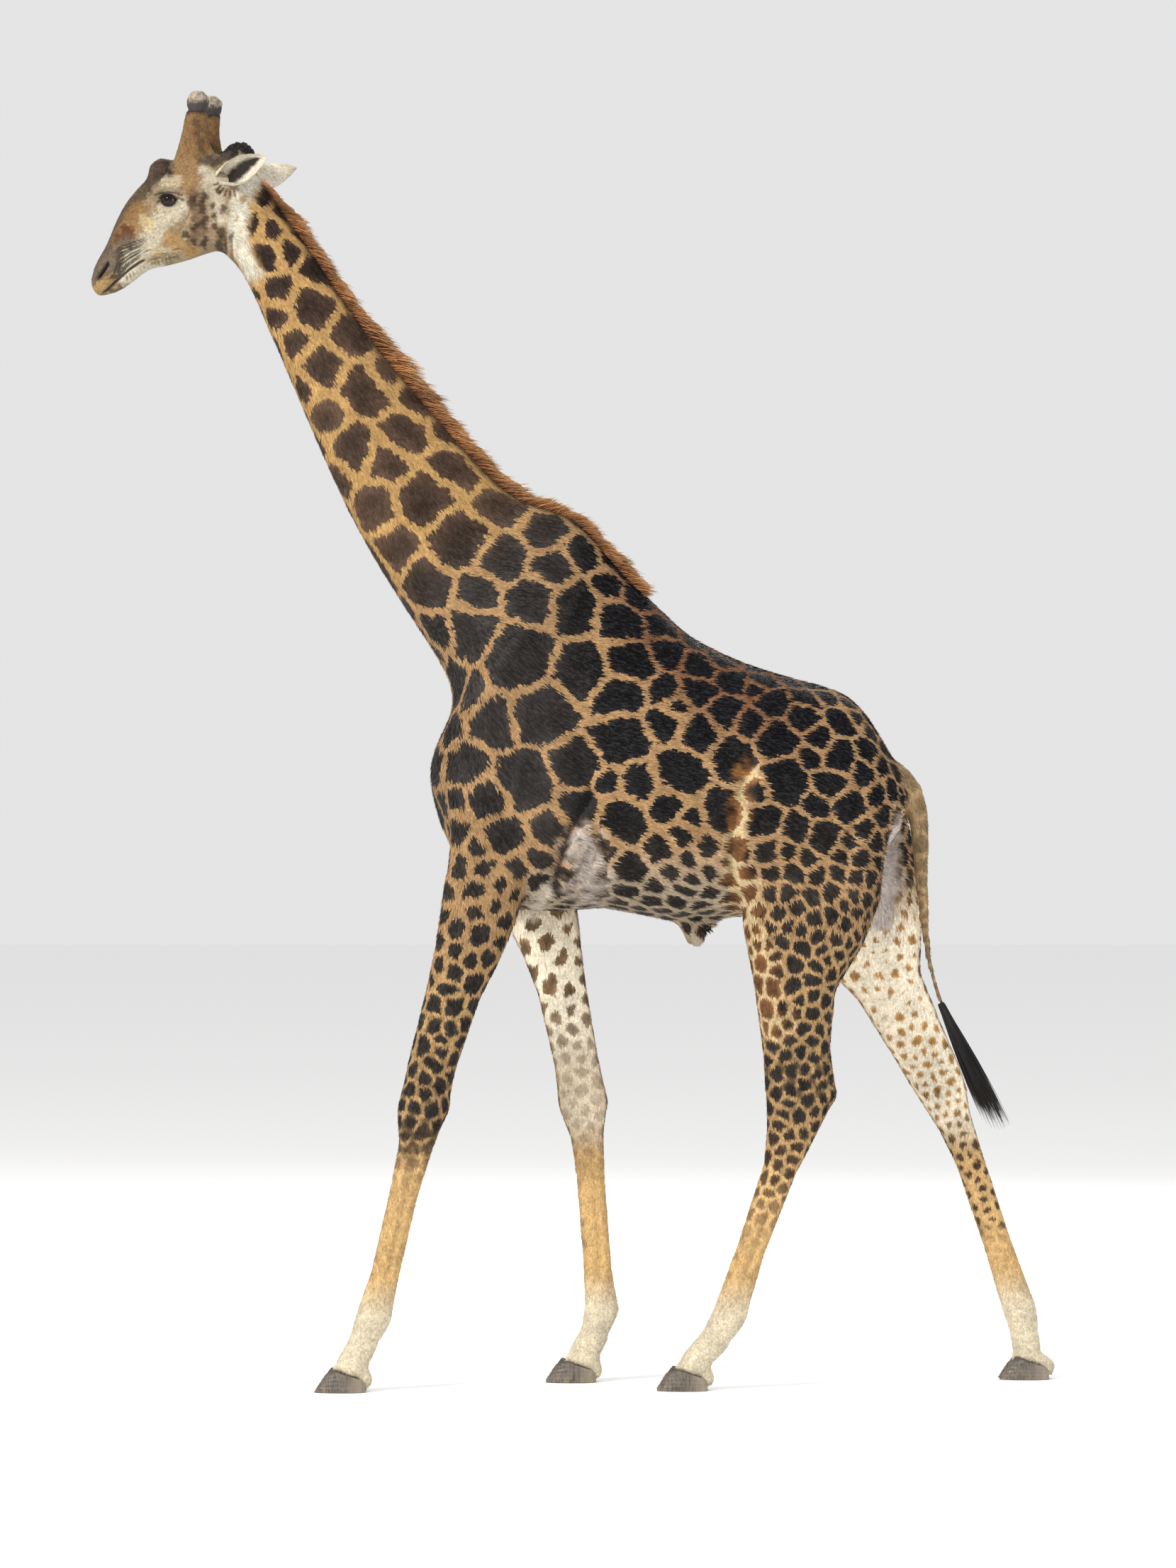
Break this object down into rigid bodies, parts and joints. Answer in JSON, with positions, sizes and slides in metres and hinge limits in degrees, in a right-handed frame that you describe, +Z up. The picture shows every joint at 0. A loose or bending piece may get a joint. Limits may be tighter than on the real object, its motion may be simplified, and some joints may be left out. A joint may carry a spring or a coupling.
{
  "type": "giraffe model",
  "caption": "Life-size still model of an adult bull giraffe in mid stride, with patched coat, upright mane, hair-covered horns with bald knobs, and cloven hooves.",
  "frame": {"origin": "on the floor under the middle of the bounding box", "axes": "+Z up, -X the way the animal walks, +Y its right side"},
  "size_m": [3.47, 0.7772, 4.613],
  "materials": {
    "hide": "short flat hair, dark brown patches on a tan net",
    "mane_hair": "stiff upright rust-brown hair",
    "tail_hair": "long black hair",
    "horn_knob": "bald grey worn skin",
    "hoof": "dull grey-brown horn",
    "eye": "wet dark brown, glossy"
  },
  "bodies": {
    "root": {"head": "hide", "neck": "hide", "trunk": "hide", "mane": "mane_hair", "tail": "hide", "tail_tuft": "tail_hair", "left_ear": "hide", "right_ear": "hide", "left_eye": "eye", "right_eye": "eye", "left_horn": "hide", "right_horn": "hide", "left_horn_cap": "horn_knob", "right_horn_cap": "horn_knob", "left_fore_forearm": "hide", "left_fore_shank": "hide", "left_fore_outer_hoof": "hoof", "left_fore_inner_hoof": "hoof", "right_fore_forearm": "hide", "right_fore_shank": "hide", "right_fore_outer_hoof": "hoof", "right_fore_inner_hoof": "hoof", "left_hind_gaskin": "hide", "left_hind_shank": "hide", "left_hind_outer_hoof": "hoof", "left_hind_inner_hoof": "hoof", "right_hind_gaskin": "hide", "right_hind_shank": "hide", "right_hind_outer_hoof": "hoof", "right_hind_inner_hoof": "hoof"}
  },
  "joints": []
}
